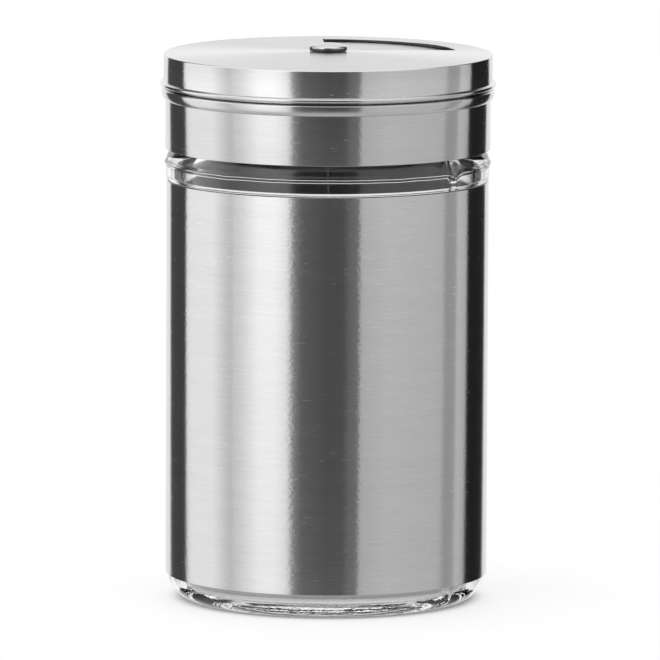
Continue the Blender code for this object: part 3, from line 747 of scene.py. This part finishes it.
def brushed_steel(name, colour, roughness, anisotropy, line_depth, painted_shade_mask=None, painted_shade_colour=PAINTED_SHADE_STEEL):
    """Stainless steel brushed round the axis: long fine lines, broader bands and a few short scratches, with
    painted shade, a dark grey, where the mask is 1.
    """
    material, tree, shader = new_material(name)
    lines = brush_lines(tree, *LINES)
    bands = brush_lines(tree, *BANDS)
    grain = brush_lines(tree, *GRAIN)
    nicks = brush_lines(tree, *NICKS)
    spread = {"Value": nicks, "From Min": SCRATCH_RANGE[0], "From Max": SCRATCH_RANGE[1]}
    scratch = add_node(tree, "ShaderNodeMapRange", spread).outputs[0]
    dark = tuple(channel * DARKEST_SHARE for channel in colour)
    light = tuple(channel * LIGHTEST_SHARE for channel in colour)
    height = maths(tree, "ADD", lines, maths(tree, "MULTIPLY", scratch, SCRATCH_DEPTH))
    height = maths(tree, "ADD", height, maths(tree, "MULTIPLY", grain, GRAIN_DEPTH))
    bump = bumped(tree, height, 1.0, line_depth)
    fine = maths(tree, "MULTIPLY", lines, LINE_SHARE)
    broad = maths(tree, "MULTIPLY", bands, 1 - LINE_SHARE)
    mixed = maths(tree, "ADD", fine, broad)
    mixed = maths(tree, "ADD", mixed, maths(tree, "MULTIPLY", scratch, SCRATCH_SHADE))
    shade = tinted(tree, mixed, dark, light)
    dullness = ranged(tree, mixed, roughness * (1 - ROUGHNESS_SPREAD), roughness * (1 + ROUGHNESS_SPREAD))
    dullness = maths(tree, "ADD", dullness, maths(tree, "MULTIPLY", scratch, SCRATCH_ROUGHNESS))
    # Painted shade: where the mask is 1 the steel is painted a dark shade colour and made rough.
    if painted_shade_mask:
        share = painted_shade_mask(tree)
        mix = add_node(tree, "ShaderNodeMix", {"Factor": share}, data_type="RGBA")
        tree.links.new(shade, mix.inputs["A"])
        mix.inputs["B"].default_value = (*painted_shade_colour, 1)
        shade = mix.outputs["Result"]
        dullness = blended(tree, share, dullness, DULL_ROUGHNESS)
    tree.links.new(shade, shader.inputs["Base Color"])
    tree.links.new(dullness, shader.inputs["Roughness"])
    tree.links.new(bump, shader.inputs["Normal"])
    tangent = add_node(tree, "ShaderNodeTangent", direction_type="RADIAL", axis="Z").outputs[0]
    tree.links.new(tangent, shader.inputs["Tangent"])
    shader.inputs["Metallic"].default_value = 1.0
    shader.inputs["Anisotropic"].default_value = anisotropy
    shader.inputs["Anisotropic Rotation"].default_value = 0.25
    return material


def cast_noise(tree, scale, detail):
    """Plain noise fixed to the piece."""
    place = add_node(tree, "ShaderNodeTexCoord").outputs["Object"]
    settings = {"Vector": place, "Scale": scale, "Detail": detail}
    return add_node(tree, "ShaderNodeTexNoise", settings).outputs[0]


RIPPLE_SCALE = 260
RIPPLE_DEPTH = 0.02 * MM
RIPPLE_STRENGTH = 0.35
HEEL_SCALE = 700  # of the closer ripple below the sleeve
HEEL_RIPPLE = 2.5  # how much stronger it is


def clear_glass():
    """Pressed clear glass with the faint ripple that its mould leaves."""
    material, tree, shader = new_material("pressed_glass")
    ripple = cast_noise(tree, RIPPLE_SCALE, 2)
    place = add_node(tree, "ShaderNodeTexCoord").outputs["Object"]
    height = add_node(tree, "ShaderNodeSeparateXYZ", {0: place}).outputs[2]
    heel = between(tree, height, sleeve_bottom, sleeve_bottom - HEEL_TAPER)
    close_ripple = maths(tree, "MULTIPLY", cast_noise(tree, HEEL_SCALE, 2), HEEL_RIPPLE)
    relief = maths(tree, "ADD", ripple, maths(tree, "MULTIPLY", close_ripple, heel))
    bump = bumped(tree, relief, RIPPLE_STRENGTH, RIPPLE_DEPTH)
    tree.links.new(bump, shader.inputs["Normal"])
    tree.links.new(tinted(tree, ripple, (0.97, 0.98, 0.975), (1, 1, 1)), shader.inputs["Base Color"])
    shader.inputs["Roughness"].default_value = 0.0
    shader.inputs["Transmission Weight"].default_value = 1.0
    shader.inputs["IOR"].default_value = 1.52
    return material


MOULD_GRAIN_STRENGTH = 0.4
MOULD_GRAIN_DEPTH = 0.02 * MM
CLOUD_SHARE = 1 / 12  # of the grain's scale


def moulded_plastic(name, colour, second, roughness, grain):
    """A moulded plastic or rubber with a fine grain and a slight cloudiness."""
    material, tree, shader = new_material(name)
    speckle = cast_noise(tree, grain, 4)
    cloud = cast_noise(tree, grain * CLOUD_SHARE, 2)
    bump = bumped(tree, speckle, MOULD_GRAIN_STRENGTH, MOULD_GRAIN_DEPTH)
    tree.links.new(bump, shader.inputs["Normal"])
    tree.links.new(tinted(tree, cloud, colour, second), shader.inputs["Base Color"])
    dullness = ranged(tree, speckle, roughness * (1 - ROUGHNESS_SPREAD), roughness * (1 + ROUGHNESS_SPREAD))
    tree.links.new(dullness, shader.inputs["Roughness"])
    return material


def dress(piece, body, node, material):
    """Gives a piece its material, hangs it on its body and hides the node that it stands for."""
    piece.data.materials.clear()
    piece.data.materials.append(material)
    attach(piece, body)
    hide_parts(node)


def make_pieces():
    """All the visible pieces of the shaker."""
    one_way = 1.0  # anisotropy of steel that is brushed in one direction
    # Painted shade: the sleeve's inner face is painted a darker grey, (0.3, 0.3, 0.3), for the shade inside
    # it.
    sleeve_steel = brushed_steel(
        "sleeve_steel", (0.64, 0.64, 0.645), 0.17, one_way, 0.0025 * MM, inside_shade_mask, (0.3, 0.3, 0.3)
    )
    # Painted shade: the punched walls of the deck and the dial are painted near black.
    lid_steel = brushed_steel("lid_steel", (0.64, 0.64, 0.645), 0.17, one_way, 0.0018 * MM, cut_wall_shade_mask)
    dial_steel = brushed_steel("dial_steel", (0.66, 0.66, 0.665), 0.17, one_way, 0.0015 * MM, cut_wall_shade_mask)
    # Painted shade: the rivet's rim is painted near black.
    rivet_steel = brushed_steel("rivet_steel", (0.6, 0.6, 0.605), 0.2, 0.5, 0.0005 * MM, rim_shade_mask)
    washer_steel = brushed_steel("washer_steel", (0.52, 0.52, 0.53), 0.38, 0.4, 0.001 * MM)
    silicone = moulded_plastic("seal_silicone", (0.84, 0.84, 0.83), (0.9, 0.9, 0.89), 0.5, 3000)
    plastic = moulded_plastic("insert_plastic", (0.04, 0.04, 0.043), (0.06, 0.06, 0.064), 0.42, 4000)

    jar = turned("jar_glass", glass_profile(), closed=False, relief=glass_relief)
    dress(jar, "jar", "glass_jar", clear_glass())
    sleeve = turned("sleeve_sheet", sleeve_profile(), relief=seam_relief, opening=SEAM_GAP / sleeve_radius)
    dress(sleeve, "jar", "steel_sleeve", sleeve_steel)
    seal = turned("seal_liner", washer_profile(seal_bore, seal_radius, seal_bottom, seal_top, SEAT_GAP))
    dress(seal, "seal", "seal_ring", silicone)
    insert = turned("screw_ring", insert_profile(), relief=insert_relief)
    dress(insert, "lid", "thread_insert", plastic)
    lid = turned("lid_skirt_and_deck", lid_profile())
    cut(lid, cutter("deck_cutter", deck_outlines(), deck_top))
    dress(lid, "lid", "lid_shell", lid_steel)
    dial = turned("dial_cover", dial_profile())
    window = sector(WINDOW_INNER_RADIUS, WINDOW_OUTER_RADIUS, WINDOW_START_DEG, WINDOW_END_DEG, WINDOW_CORNER)
    cut(dial, cutter("window_cutter", [window], dial_top))
    dress(dial, "dial", "dial_cap", dial_steel)
    rivet = turned("dial_rivet", rivet_profile(), closed=False, segments=SMALL_SEGMENTS)
    dress(rivet, "lid", "rivet", rivet_steel)
    backing_edges = (SHANK_HOLE_RADIUS, backing_radius, backing_top - BACKING_THICKNESS, backing_top)
    backing = turned("rivet_backing", washer_profile(*backing_edges, RUNNING_GAP), segments=SMALL_SEGMENTS)
    dress(backing, "lid", "backing_washer", washer_steel)
    wave_middle = (wave_bottom + wave_top) / 2
    wave_edges = (SHANK_HOLE_RADIUS, wave_radius, wave_middle - WAVE_SHEET / 2, wave_middle + WAVE_SHEET / 2)
    wave = turned("rivet_wave_spring", washer_profile(*wave_edges, RUNNING_GAP / 2), segments=SMALL_SEGMENTS)
    wave_rise = (wave_top - wave_bottom - WAVE_SHEET) / 2
    for corner in wave.data.vertices:
        angle = math.atan2(corner.co.y, corner.co.x)
        corner.co.z += wave_rise * math.cos(WAVE_COUNT * angle)
    dress(wave, "lid", "wave_washer", washer_steel)


# Studio. Directions are in degrees round the shaker, 0 towards the camera and positive to the right.
# Each stop is (direction, brightness) of the cards and soft boxes that stand round the shaker.
STUDIO_STOPS = (
    (-180, 0.85),
    (-153, 1.0),
    (-150.5, 0.07),
    (-122, 0.07),
    (-120.5, 1.17),
    (-90, 1.17),
    (-77, 0.8),
    (-73.2, 0.76),
    (-72.4, 0.35),
    (-71.6, 0.86),
    (-66, 0.92),
    (-50, 1.33),
    (-38, 1.33),
    (-30, 1.15),
    (-27.5, 0.95),
    (-24.5, 0.3),
    (-18, 0.13),
    (0, 0.08),
    (12, 0.085),
    (16, 0.16),
    (22.5, 0.19),
    (24, 0.6),
    (45, 0.69),
    (91, 0.63),
    (94, 0.42),
    (105, 0.42),
    (107, 0.7),
    (118.5, 0.62),
    (120, 0.02),
    (152.5, 0.02),
    (155, 0.95),
    (180, 0.85),
)
CARD_LIFT = 1.17  # the cards are this much brighter above the horizon than below it
TABLE_BRIGHTNESS = 0.62  # the table, as the metal's undersides show it
TABLE_START_DEG = -26
TABLE_FULL_DEG = -42
OVERHEAD_BRIGHTNESS = 1.3
OVERHEAD_START_DEG = 42  # the soft box overhead begins at this elevation
OVERHEAD_FULL_DEG = 60


def make_world():
    """The studio that the metal and the glass show, and the plain white that the camera sees behind them."""
    world = bpy.data.worlds.new("studio")
    bpy.context.scene.world = world
    world.use_nodes = True
    tree = world.node_tree
    direction = add_node(tree, "ShaderNodeTexCoord").outputs["Generated"]
    parts = add_node(tree, "ShaderNodeSeparateXYZ", {0: direction}).outputs
    towards = maths(tree, "MULTIPLY", parts[1], -1)
    azimuth = maths(tree, "ARCTAN2", parts[0], towards)
    turn = maths(tree, "ADD", maths(tree, "DIVIDE", azimuth, math.tau), 0.5)
    ramp = add_node(tree, "ShaderNodeValToRGB", {"Fac": turn})
    stops = ramp.color_ramp.elements
    while len(stops) > 1:
        stops.remove(stops[-1])
    brightest = max(level for _, level in STUDIO_STOPS)
    for azimuth_deg, level in STUDIO_STOPS:
        stop = stops.new(azimuth_deg / 360 + 0.5) if azimuth_deg > STUDIO_STOPS[0][0] else stops[0]
        grey = level / brightest
        stop.color = (grey, grey, grey, 1)
    lift = between(tree, parts[2], 0, 0.1, 1, CARD_LIFT)
    cards = maths(tree, "MULTIPLY", maths(tree, "MULTIPLY", ramp.outputs["Color"], brightest), lift)
    overhead = between(tree, parts[2], sine(OVERHEAD_START_DEG), sine(OVERHEAD_FULL_DEG))
    table = between(tree, parts[2], sine(TABLE_START_DEG), sine(TABLE_FULL_DEG))
    above = blended(tree, overhead, cards, OVERHEAD_BRIGHTNESS)
    lit = blended(tree, table, above, TABLE_BRIGHTNESS)
    is_camera = add_node(tree, "ShaderNodeLightPath").outputs["Is Camera Ray"]
    shown = blended(tree, is_camera, lit, 1.0)
    tree.links.new(shown, tree.nodes["Background"].inputs["Color"])


FLOOR_RADIUS = 75 * MM
FLOOR_FADE_START = 35 * MM  # from here outwards the floor turns into the white behind it
SHADOW_SHARE = 0.35  # how much of the floor's own shading the camera sees
PAINTED_LIGHT_UNDER_PUNT = 0.85  # painted light: how much of the white behind still glows on the table under the jar's clear floor, for the light that comes through the glass
CONTACT_SHARE = 0.3  # and how much in the ring of shade round the foot
OPEN_FLOOR_BRIGHTNESS = 0.78  # the floor's own brightness where nothing shades it


def make_floor():
    """A plain pale table top under the shaker, which keeps its soft shadow."""
    work = bmesh.new()
    bmesh.ops.create_circle(work, cap_ends=True, segments=SEGMENTS, radius=FLOOR_RADIUS)
    floor = finished_mesh("floor", work)
    material, tree, shader = new_material("pale_floor")
    shader.inputs["Base Color"].default_value = (0.9, 0.9, 0.9, 1)
    shader.inputs["Roughness"].default_value = 0.8
    place = add_node(tree, "ShaderNodeTexCoord").outputs["Object"]
    distance = add_node(tree, "ShaderNodeVectorMath", {0: place}, operation="LENGTH").outputs["Value"]
    fade = between(tree, distance, FLOOR_FADE_START, FLOOR_RADIUS, 1 - SHADOW_SHARE)
    rays = add_node(tree, "ShaderNodeLightPath").outputs
    seen = maths(tree, "MAXIMUM", rays["Is Camera Ray"], rays["Is Transmission Ray"])
    level = add_node(
        tree,
        "ShaderNodeMapRange",
        {
            "Value": fade,
            "From Min": 1 - SHADOW_SHARE,
            "To Min": (1 - SHADOW_SHARE * OPEN_FLOOR_BRIGHTNESS) / (1 - SHADOW_SHARE),
            "To Max": 1.0,
        },
    ).outputs[0]
    white = add_node(tree, "ShaderNodeEmission", {"Strength": level}).outputs[0]
    # Painted light: the table under the punt keeps most of its white glow, for the light through the jar's
    # glass base.
    punt_edge = FOOT_RADIUS - 2 * FOOT_WIDTH
    painted_light_under_punt = between(tree, distance, punt_edge, FOOT_RADIUS, PAINTED_LIGHT_UNDER_PUNT, CONTACT_SHARE)
    open_table = maths(tree, "MAXIMUM", painted_light_under_punt, between(tree, distance, FOOT_RADIUS, sleeve_radius))
    share = maths(tree, "MULTIPLY", maths(tree, "MULTIPLY", seen, fade), open_table)
    mixed = add_node(tree, "ShaderNodeMixShader", {0: share, 1: shader.outputs[0], 2: white}).outputs[0]
    tree.links.new(mixed, tree.nodes["Material Output"].inputs["Surface"])
    floor.data.materials.append(material)
    floor.visible_glossy = False


# Camera, at the photograph's viewing angle.
CAMERA_DISTANCE = 1600 * MM
CAMERA_ELEVATION_DEG = 7.68
CAMERA_LENS_MM = 561.2
FRAME_OFFSET = (0.47 * MM, 0.75 * MM)  # how far right of and below the middle the camera aims
AIM_HEIGHT = 42.5 * MM
CAMERA_ROLL_DEG = 0.27  # the photograph leans a little to the right


def make_camera():
    """A long lens that looks slightly down on the shaker."""
    camera_data = bpy.data.cameras.new("camera")
    camera_data.lens = CAMERA_LENS_MM
    camera_data.clip_start = CAMERA_DISTANCE / 100
    camera_data.clip_end = CAMERA_DISTANCE * 100
    camera = bpy.data.objects.new("camera", camera_data)
    bpy.context.scene.collection.objects.link(camera)
    elevation = math.radians(CAMERA_ELEVATION_DEG)
    back = Vector((0, -math.cos(elevation), math.sin(elevation)))
    up = Vector((0, math.sin(elevation), math.cos(elevation)))
    aim = Vector((FRAME_OFFSET[0], 0, AIM_HEIGHT)) - up * FRAME_OFFSET[1]
    camera.location = aim + back * CAMERA_DISTANCE
    tilt = Matrix.Rotation(math.pi / 2 - elevation, 3, "X")
    camera.rotation_euler = (tilt @ Matrix.Rotation(math.radians(CAMERA_ROLL_DEG), 3, "Z")).to_euler()
    bpy.context.scene.camera = camera


make_camera()
make_world()
make_floor()
make_pieces()

scene = bpy.context.scene
scene.view_settings.view_transform = "Standard"
scene.cycles.max_bounces = 24
scene.cycles.glossy_bounces = 16
scene.cycles.transmission_bounces = 24
